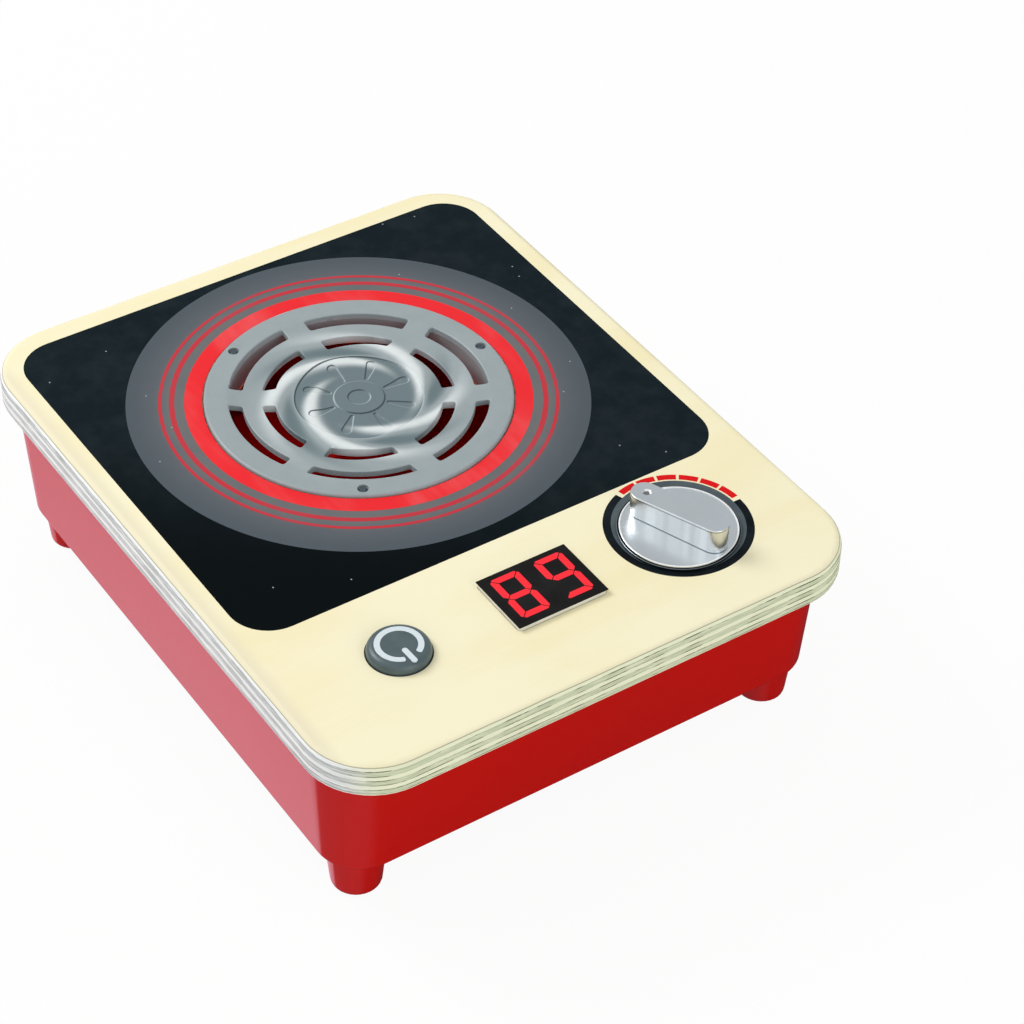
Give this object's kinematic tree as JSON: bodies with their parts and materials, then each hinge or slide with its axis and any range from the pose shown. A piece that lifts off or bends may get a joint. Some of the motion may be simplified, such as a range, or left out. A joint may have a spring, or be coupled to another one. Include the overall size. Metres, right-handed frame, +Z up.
{
  "type": "toy induction cooker",
  "caption": "Child's play cooker: plywood hob top on a red moulded tray, with a slotted burner grille, push button, display and turning knob.",
  "frame": {"origin": "on the table, below the middle of the plywood board", "axes": "+X to the user's right, +Y away from the user towards the burner, +Z up"},
  "size_m": [0.18, 0.222, 0.0766],
  "materials": {
    "birch_plywood": "sanded birch plywood with a printed top",
    "grey_plastic": "satin moulded",
    "slate_plastic": "satin moulded, printed sign",
    "white_plastic": "satin",
    "black_film": "printed film",
    "red_plastic": "glossy moulded",
    "silver_finish": "satin silver",
    "dark_steel": "blackened",
    "bright_steel": "plated",
    "black_plastic": "moulded",
    "circuit_green": "circuit board",
    "red_led": "clear red lamp",
    "cell_sleeve": "plain sleeve"
  },
  "bodies": {
    "housing": {"top_board": "birch_plywood", "burner_grille": "grey_plastic", "grille_screw_1": "dark_steel", "grille_screw_2": "dark_steel", "grille_screw_3": "dark_steel", "display_tile": "white_plastic", "display_label": "black_film", "button_spring": "bright_steel", "button_guide": "black_plastic", "guide_screw_1": "bright_steel", "guide_screw_2": "bright_steel", "switch_body": "black_plastic", "circuit_board": "circuit_green", "board_screw_1": "bright_steel", "board_screw_2": "bright_steel", "knob_bush": "black_plastic", "base_tray": "red_plastic", "tray_screw_1": "bright_steel", "tray_screw_2": "bright_steel", "tray_screw_3": "bright_steel", "tray_screw_4": "bright_steel", "lamp_board": "circuit_green", "lamp_screw": "bright_steel", "led_1": "red_led", "led_2": "red_led", "led_3": "red_led", "speaker": "black_plastic", "speaker_screw_1": "bright_steel", "speaker_screw_2": "bright_steel", "battery_1": "cell_sleeve", "battery_2": "cell_sleeve", "battery_spring_1": "bright_steel", "battery_spring_2": "bright_steel", "battery_bridge": "bright_steel", "terminal_plus": "bright_steel", "terminal_minus": "bright_steel"},
    "button": {"power_button": "slate_plastic"},
    "plunger": {"switch_plunger": "white_plastic"},
    "dial": {"knob": "silver_finish", "knob_washer": "bright_steel", "knob_screw": "bright_steel"},
    "door": {"battery_door": "red_plastic", "door_screw_1": "bright_steel", "door_screw_2": "bright_steel"}
  },
  "joints": [
    {"name": "button_press", "type": "slide", "parent": "housing", "child": "button", "axis": [0, 0, -1], "range_m": [0, 0.002], "stiffness_N_per_m": 150, "springref_m": -0.002, "deforming": ["button_spring"]},
    {"name": "switch_press", "type": "slide", "parent": "housing", "child": "plunger", "axis": [0, 0, -1], "range_m": [0, 0.002]},
    {"name": "knob_turn", "type": "hinge", "parent": "housing", "child": "dial", "pos_m": [0.047, -0.0736, 0.0669], "axis": [0, 0, 1], "continuous": true},
    {"name": "door_removal", "type": "slide", "parent": "housing", "child": "door", "axis": [0, 0, -1], "range_m": [0, 0.03]}
  ],
  "couplings": [
    {"joint": "switch_press", "follows": "button_press", "ratio": 1}
  ]
}
